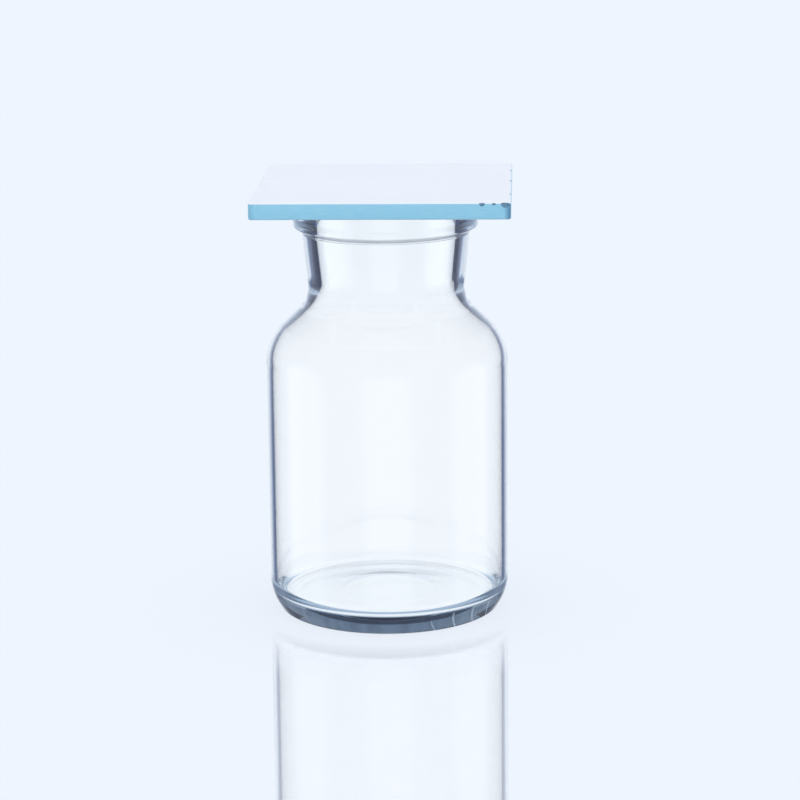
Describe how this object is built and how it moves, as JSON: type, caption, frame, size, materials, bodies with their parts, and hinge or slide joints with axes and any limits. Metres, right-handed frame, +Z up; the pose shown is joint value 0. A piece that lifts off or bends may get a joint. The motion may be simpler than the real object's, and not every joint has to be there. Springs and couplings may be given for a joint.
{
  "type": "gas jar",
  "caption": "Wide-mouthed laboratory gas jar of clear glass with a thick ground rim, closed by a loose square plate of ground glass that lies on it.",
  "frame": {"origin": "middle of the plane that the jar stands on, on the jar's axis", "axes": "+Z up along the jar's axis, +X and +Y along the plate's sides, -Y towards the front"},
  "size_m": [0.06, 0.06, 0.1038],
  "materials": {
    "jar_glass": "clear and polished, with a ground rim",
    "plate_glass": "ground faces and cut edges of pale blue"
  },
  "bodies": {
    "root": {"jar": "jar_glass", "cover_plate": "plate_glass"}
  },
  "joints": []
}
